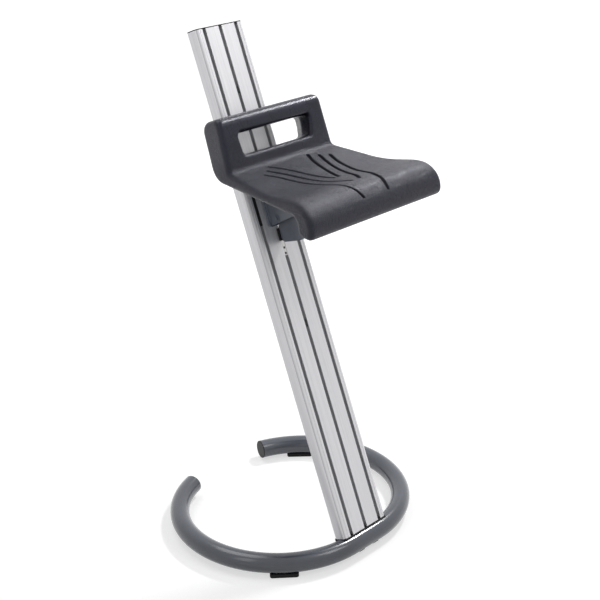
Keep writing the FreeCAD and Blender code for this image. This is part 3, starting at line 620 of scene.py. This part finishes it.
seatPlan = {
    "merge": 0.00001,  # corners nearer than this are one
    "pocket": {"sideSlack": 0.001, "floorSlack": 0.0002, "roofSlack": 0.0005},  # round the hidden insert
    "voxel": 0.0024,
    "smoothing": 6,
    "smoothFactor": 0.5,
    "reach": 0.2995,  # from the column's face at seat height to the nose
    "frontWidth": 0.352,
    "window": {"middle": 0.0478, "halfWide": 0.087, "halfTall": 0.0193, "corner": 0.009, "fade": 0.011,
               "widen": 0.0022, "heighten": 0.0006, "square": 0.0016, "gather": 4, "topEdge": 1.02,
               "flareDepth": (-0.042, -0.012), "flare": 0.012, "drawBack": 0.0040, "deepest": 0.02},
    "dropHeight": 0.2,  # above the underside, from where the lines fall on to the seat
    "upward": 0.05,  # only faces that look up at least this much are pressed
    "lineDetail": 48,
    "ironTurns": 22,
    "ironReach": 0.0065,
    "fineReaches": (0.0060, 0.0044),  # from a line, where the faces are split once and once more
    "pressReach": 0.008,
    "grooveWidth": 0.0060,
    "grooveDepth": 0.0042,
    "grooveWall": 0.0009,
    "shadeGain": 3.2,  # how early a groove's wall takes the groove's painted shade
    "pillow": 0.0002,  # how far the foam swells beside a groove
    "pillowOffset": 0.0018,
    "pillowSpan": 0.0045,
    "grooves": [  # share of the half width, and of the reach
        [(0.290, 0.250), (0.205, 0.340), (0.140, 0.450), (0.085, 0.560), (0.035, 0.645)],
        [(0.385, 0.295), (0.305, 0.400), (0.240, 0.520), (0.190, 0.635), (0.140, 0.725), (0.060, 0.800)],
        [(0.485, 0.333), (0.415, 0.425), (0.370, 0.530), (0.320, 0.645), (0.295, 0.715), (0.270, 0.775),
         (0.238, 0.840), (0.220, 0.890), (0.200, 0.930), (0.185, 0.960)],
    ],
    "roughGrooves": [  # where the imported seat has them
        [(0.279, 0.210), (0.173, 0.334), (0.095, 0.481), (0.030, 0.643)],
        [(0.374, 0.262), (0.302, 0.412), (0.184, 0.575), (0.112, 0.673), (0.039, 0.774)],
        [(0.480, 0.301), (0.413, 0.402), (0.341, 0.543), (0.291, 0.647), (0.257, 0.715), (0.240, 0.766),
         (0.205, 0.845), (0.181, 0.906), (0.177, 0.945)],
    ],
}


def clamped(share):
    return max(0.0, min(1.0, share))


def eased(share):
    # A share from 0 to 1 that starts and ends gently.
    return share * share * (3 - 2 * share)


def mergedMesh(name, distance):
    # A copy of a node's mesh, opened for editing, with the corners of neighbouring faces joined.
    mesh = nodes[name].data.copy()
    work = bmesh.new()
    work.from_mesh(mesh)
    bmesh.ops.remove_doubles(work, verts=work.verts, dist=distance)
    return mesh, work


def bakedMesh(source, name):
    # The source with its modifiers run, as a plain mesh object of its own.
    graph = bpy.context.evaluated_depsgraph_get()
    mesh = bpy.data.meshes.new_from_object(source.evaluated_get(graph))
    piece = bpy.data.objects.new(name, mesh)
    bpy.context.collection.objects.link(piece)
    bpy.data.objects.remove(source)
    return piece


def makeSeat(plan):
    mesh, work = mergedMesh("seat_shell", plan["merge"])
    low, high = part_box("seat_insert")
    pocket = plan["pocket"]
    side = pocket["sideSlack"]
    hidden = []
    for face in work.faces:
        at = face.calc_center_median()
        if abs(at.x) < high[0] + side and low[1] - side < at.y < high[1] + side:
            if seatUnderside + pocket["floorSlack"] < at.z < high[2] + pocket["roofSlack"]:
                hidden.append(face)
    bmesh.ops.delete(work, geom=hidden, context="FACES")
    bmesh.ops.holes_fill(work, edges=[edge for edge in work.edges if edge.is_boundary], sides=0)
    bmesh.ops.recalc_face_normals(work, faces=work.faces)
    work.to_mesh(mesh)
    work.free()
    rough = bpy.data.objects.new("seatRough", mesh)
    bpy.context.collection.objects.link(rough)
    remesh = rough.modifiers.new("remesh", "REMESH")
    remesh.mode = "VOXEL"
    remesh.voxel_size = plan["voxel"]
    remesh.use_smooth_shade = True
    smooth = rough.modifiers.new("smooth", "SMOOTH")
    smooth.factor = plan["smoothFactor"]
    smooth.iterations = plan["smoothing"]
    seat = bakedMesh(rough, "seatFoam")
    squareWindow(seat, plan)
    pressGrooves(seat, plan)
    seat.data.materials.clear()
    seat.data.materials.append(finishes["seatSkin"])
    return seat


def squareWindow(seat, plan):
    # Draws the hand-hold's walls outwards and its corners out to a tighter turn.
    hold = plan["window"]
    middle = onColumn(0, 0, seatLevel + hold["middle"])
    halfTall, corner = hold["halfTall"], hold["corner"]
    flareStart, flareEnd = hold["flareDepth"]
    for vertex in seat.data.vertices:
        offset = vertex.co - middle
        across, along, depth = offset.x, offset.dot(columnUp), offset.dot(columnIn)
        rear = clamped((depth - flareStart) / (flareEnd - flareStart))
        halfWide = hold["halfWide"] + hold["flare"] * rear  # the opening grows towards the column
        beyondX, beyondY = abs(across) - (halfWide - corner), abs(along) - (halfTall - corner)
        gap = math.hypot(max(beyondX, 0), max(beyondY, 0)) - corner  # how far outside the opening
        if max(abs(across) - halfWide, abs(along) - halfTall) > hold["fade"] or depth > hold["deepest"]:
            continue
        fade = eased(max(0.0, 1 - max(gap, 0) / hold["fade"]))
        turn = clamped(beyondX / corner) * clamped(beyondY / corner)
        wide = min(1.0, abs(across) / halfWide) ** hold["gather"] * (hold["widen"] + hold["drawBack"] * rear)
        wide += turn * hold["square"]
        tall = min(1.0, abs(along) / halfTall) ** hold["gather"] * hold["heighten"] + turn * hold["square"]
        if abs(along) > halfTall * hold["topEdge"] and abs(across) < halfWide - corner:
            wide = 0.0
        vertex.co += Vector((math.copysign(wide, across), 0, 0)) * fade
        vertex.co += columnUp * math.copysign(tall, along) * fade


def grooveLines(plan, label):
    # Smooth lines in plan, each a list of closely spaced points.
    lines = []
    backY = onColumn(0, 0, seatLevel).y
    for shares in plan[label]:
        for side in (-1, 1):
            curve = bpy.data.curves.new("grooveLine", "CURVE")
            spline = curve.splines.new("BEZIER")
            spline.bezier_points.add(len(shares) - 1)
            for point, (across, forward) in zip(spline.bezier_points, shares):
                point.co = (side * across * plan["frontWidth"] / 2, backY - forward * plan["reach"], 0)
                point.handle_left_type = point.handle_right_type = "AUTO"
            curve.dimensions = "3D"
            curve.resolution_u = plan["lineDetail"]
            line = bpy.data.objects.new("grooveLine", curve)
            bpy.context.collection.objects.link(line)
            mesh = bpy.data.meshes.new_from_object(line.evaluated_get(bpy.context.evaluated_depsgraph_get()))
            lines.append([vertex.co.copy() for vertex in mesh.vertices])
            bpy.data.objects.remove(line)
            bpy.data.meshes.remove(mesh)
    return lines


def pressGrooves(seat, plan):
    # Irons the remeshed grooves away, then presses them in again, crisp, in a finer net of faces.
    work = bmesh.new()
    work.from_mesh(seat.data)
    surface = BVHTree.FromBMesh(work)

    def linePlaces(label):
        # The lines dropped on to the seat, in a tree that finds the nearest place.
        above = seatUnderside + plan["dropHeight"]
        places = [surface.ray_cast(Vector((point.x, point.y, above)), Vector((0, 0, -1)))[0]
                  for line in grooveLines(plan, label) for point in line]
        places = [place for place in places if place is not None]
        near = KDTree(len(places))
        for index, place in enumerate(places):
            near.insert(place, index)
        near.balance()
        return near

    def closeTo(near, reach):
        return [vertex for vertex in work.verts
                if vertex.normal.z > plan["upward"] and near.find(vertex.co)[2] < reach]

    rough = linePlaces("roughGrooves")
    for turn in range(plan["ironTurns"]):
        bmesh.ops.smooth_vert(work, verts=closeTo(rough, plan["ironReach"]), factor=plan["smoothFactor"],
                              use_axis_x=True, use_axis_y=True, use_axis_z=True)
    surface = BVHTree.FromBMesh(work)
    near = linePlaces("grooves")
    for reach in plan["fineReaches"]:
        chosen = set(closeTo(near, reach))
        edges = [edge for edge in work.edges if edge.verts[0] in chosen and edge.verts[1] in chosen]
        bmesh.ops.subdivide_edges(work, edges=edges, cuts=1, use_grid_fill=True, smooth=0.0)
        work.normal_update()
    half = plan["grooveWidth"] / 2
    wall = plan["grooveWall"]
    moves = []
    # The share of painted shade that each corner in a groove gets, kept on the seat as sunk.
    grooveShadeShare = work.verts.layers.float.new("sunk")
    for vertex in closeTo(near, plan["pressReach"]):
        away = near.find(vertex.co)[2]
        share = clamped((away - half + wall) / (2 * wall))
        fall = 1 - eased(share)
        sunk = plan["grooveDepth"] * fall
        vertex[grooveShadeShare] = min(1.0, plan["shadeGain"] * fall)
        swell = plan["pillow"] * max(0.0, 1 - abs(away - half - plan["pillowOffset"]) / plan["pillowSpan"])
        moves.append((vertex, vertex.normal * (swell * share - sunk)))
    for vertex, move in moves:
        vertex.co += move
    bmesh.ops.triangulate(work, faces=[face for face in work.faces if len(face.verts) > 4])
    work.to_mesh(seat.data)
    work.free()
    for face in seat.data.polygons:
        face.use_smooth = True


seat = makeSeat(seatPlan)
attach(seat, "carriage")
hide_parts("seat_shell")
print("seat made:", len(seat.data.polygons), "faces")

ripplePlan = {
    "radius": 0.0021,
    "sides": 10,
    "pitch": 0.0024,  # from one ripple of a weld to the next
    "steps": 6,  # rings in one ripple
    "ripple": 0.16,
    "wander": 0.10,
    "seed": 7,
    "plateRuns": [(0.05, 0.26), (0.40, 0.62), (0.76, 0.95)],  # shares of the seam under the seat
    "slideRuns": [(0.06, 0.40), (0.58, 0.90)],
    "topSlack": 0.0005,  # corners of a gusset this near to its top, or its deep edge, lie on it
    "deepSlack": 0.0003,
}

gripPlan = {"start": -0.034, "end": 0.034, "pitch": 0.0045, "thickness": 0.0007, "sides": 40, "wireSides": 8}


def newGeometryTree(name, inputs):
    tree = bpy.data.node_groups.new(name, "GeometryNodeTree")
    tree.interface.new_socket("Geometry", in_out="INPUT", socket_type="NodeSocketGeometry")
    tree.interface.new_socket("Geometry", in_out="OUTPUT", socket_type="NodeSocketGeometry")
    for label, kind in inputs:
        tree.interface.new_socket(label, in_out="INPUT", socket_type=kind)
    sketch = Sketch(tree)
    return sketch, sketch.add("NodeGroupInput").outputs, sketch.add("NodeGroupOutput").inputs


def endTree(sketch, geometry, material, result):
    # Every tree ends the same way: real faces, smooth, with their material.
    real = sketch.add("GeometryNodeRealizeInstances")
    smooth = sketch.add("GeometryNodeSetShadeSmooth")
    dress = sketch.add("GeometryNodeSetMaterial")
    sketch.link(geometry, real.inputs["Geometry"])
    sketch.link(real.outputs[0], smooth.inputs["Geometry"])
    sketch.link(smooth.outputs[0], dress.inputs["Geometry"])
    sketch.link(material, dress.inputs["Material"])
    sketch.link(dress.outputs[0], result["Geometry"])


def buildWeldTree():
    # A bead along every edge of the given mesh, its radius rising and falling as a welder's pool does.
    sketch, given, result = newGeometryTree("weldBead", [
        ("Radius", "NodeSocketFloat"), ("Pitch", "NodeSocketFloat"), ("Ripple", "NodeSocketFloat"),
        ("Wander", "NodeSocketFloat"), ("Seed", "NodeSocketInt"), ("Material", "NodeSocketMaterial")])
    path = sketch.add("GeometryNodeMeshToCurve")
    sketch.link(given["Geometry"], path.inputs["Mesh"])
    fine = sketch.add("GeometryNodeResampleCurve", mode="LENGTH")
    sketch.link(path.outputs[0], fine.inputs["Curve"])
    sketch.link(sketch.sum("DIVIDE", given["Pitch"], ripplePlan["steps"]), fine.inputs["Length"])
    along = sketch.add("GeometryNodeSplineParameter").outputs["Length"]
    turns = sketch.sum("MULTIPLY", sketch.sum("DIVIDE", along, given["Pitch"]), math.pi)
    wave = sketch.sum("ABSOLUTE", sketch.sum("SINE", turns))
    rise = sketch.sum("ADD", 1.0, sketch.sum("MULTIPLY", wave, given["Ripple"]))
    chance = sketch.add("FunctionNodeRandomValue", data_type="FLOAT")
    sketch.link(sketch.sum("SUBTRACT", 1.0, given["Wander"]), chance.inputs[2])
    chance.inputs[3].default_value = 1.0
    sketch.link(given["Seed"], chance.inputs["Seed"])
    bead = sketch.sum("FLOOR", sketch.sum("DIVIDE", along, given["Pitch"]))
    whole = sketch.add("FunctionNodeFloatToInt")
    sketch.link(bead, whole.inputs[0])
    sketch.link(whole.outputs[0], chance.inputs["ID"])
    thick = sketch.sum("MULTIPLY", sketch.sum("MULTIPLY", rise, chance.outputs[1]), given["Radius"])
    profile = sketch.add("GeometryNodeCurvePrimitiveCircle", in_Resolution=ripplePlan["sides"], in_Radius=1.0)
    tube = sketch.add("GeometryNodeCurveToMesh")
    sketch.link(fine.outputs[0], tube.inputs["Curve"])
    sketch.link(profile.outputs[0], tube.inputs["Profile Curve"])
    tube.inputs["Fill Caps"].default_value = True
    sketch.link(thick, tube.inputs["Scale"])
    endTree(sketch, tube.outputs[0], given["Material"], result)
    return sketch.tree


def buildRibTree():
    # Rings side by side along every edge of the given mesh.
    sketch, given, result = newGeometryTree("gripRib", [
        ("Radius", "NodeSocketFloat"), ("Pitch", "NodeSocketFloat"), ("Thickness", "NodeSocketFloat"),
        ("Material", "NodeSocketMaterial")])
    path = sketch.add("GeometryNodeMeshToCurve")
    sketch.link(given["Geometry"], path.inputs["Mesh"])
    spots = sketch.add("GeometryNodeCurveToPoints", mode="LENGTH")
    sketch.link(path.outputs[0], spots.inputs["Curve"])
    sketch.link(given["Pitch"], spots.inputs["Length"])
    ring = sketch.add("GeometryNodeCurvePrimitiveCircle", in_Resolution=gripPlan["sides"])
    sketch.link(given["Radius"], ring.inputs["Radius"])
    wire = sketch.add("GeometryNodeCurvePrimitiveCircle", in_Resolution=gripPlan["wireSides"])
    sketch.link(given["Thickness"], wire.inputs["Radius"])
    rib = sketch.add("GeometryNodeCurveToMesh")
    sketch.link(ring.outputs[0], rib.inputs["Curve"])
    sketch.link(wire.outputs[0], rib.inputs["Profile Curve"])
    row = sketch.add("GeometryNodeInstanceOnPoints")
    sketch.link(spots.outputs["Points"], row.inputs["Points"])
    sketch.link(rib.outputs[0], row.inputs["Instance"])
    sketch.link(spots.outputs["Rotation"], row.inputs["Rotation"])
    endTree(sketch, row.outputs[0], given["Material"], result)
    return sketch.tree


def grow(name, lines, tree, values):
    # A piece that a node tree makes from straight lines, given as pairs of end points.
    mesh = bpy.data.meshes.new(name + "Lines")
    points = [point for line in lines for point in line]
    mesh.from_pydata(points, [(2 * index, 2 * index + 1) for index in range(len(lines))], [])
    source = bpy.data.objects.new(name + "Lines", mesh)
    bpy.context.collection.objects.link(source)
    modifier = source.modifiers.new("grow", "NODES")
    modifier.node_group = tree
    sockets = {item.name: item.identifier for item in tree.interface.items_tree
               if item.item_type == "SOCKET" and item.in_out == "INPUT"}
    for label, value in values.items():
        modifier[sockets[label]] = value
    return bakedMesh(source, name)


def weldLines(plan):
    # Stitch welds where the gussets meet the plate under the seat and the slide's plate.
    lines = []
    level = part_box("seat_support_plate")[0][2]
    for name, side in (("gusset_left", -1), ("gusset_right", 1)):
        outer = max(abs(corner[0]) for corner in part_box(name)) * side
        corners = [vertex.co for vertex in nodes[name].data.vertices]
        front, back = min(at.y for at in corners if at.z > level - plan["topSlack"]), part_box(name)[1][1]
        for start, end in plan["plateRuns"]:
            lines.append([(outer, front + (back - front) * share, level) for share in (start, end)])
        deepest = max((at - columnFoot).dot(columnIn) for at in corners)
        heights = [(at - columnFoot).dot(columnUp) for at in corners
                   if (at - columnFoot).dot(columnIn) > deepest - plan["deepSlack"]]
        low, high = min(heights), max(heights)
        for start, end in plan["slideRuns"]:
            lines.append([onColumn(outer, deepest, low + (high - low) * share) for share in (start, end)])
    return lines


welds = grow("weldBeads", weldLines(ripplePlan), buildWeldTree(), {
    "Radius": ripplePlan["radius"], "Pitch": ripplePlan["pitch"], "Ripple": ripplePlan["ripple"],
    "Wander": ripplePlan["wander"], "Seed": ripplePlan["seed"], "Material": finishes["bracketPaint"]})
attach(welds, "carriage")

gripLow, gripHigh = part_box("lever_grip")
gripMiddle = [(low + high) / 2 for low, high in zip(gripLow, gripHigh)]
gripLine = [(gripPlan[end], gripMiddle[1], gripMiddle[2]) for end in ("start", "end")]
ribs = grow("gripRibs", [gripLine], buildRibTree(), {
    "Radius": (gripHigh[2] - gripLow[2]) / 2, "Pitch": gripPlan["pitch"], "Thickness": gripPlan["thickness"],
    "Material": finishes["blackPlastic"]})
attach(ribs, "lever")
print("welds and ribs made:", len(welds.data.polygons), len(ribs.data.polygons), "faces")

springPlan = {
    "merge": 0.000005,
    "still": 0.0125,  # across: the leg on the bracket's plate
    "turning": 0.0045,  # across: the hook on the lever, with the coil between them
}


def makeSpring(plan):
    mesh, work = mergedMesh("return_spring", plan["merge"])
    work.to_mesh(mesh)
    work.free()
    spring = bpy.data.objects.new("windingSpring", mesh)
    bpy.context.collection.objects.link(spring)
    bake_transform(spring)
    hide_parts("return_spring")
    return spring


spring = makeSpring(springPlan)
print("spring made:", len(spring.data.polygons), "faces")
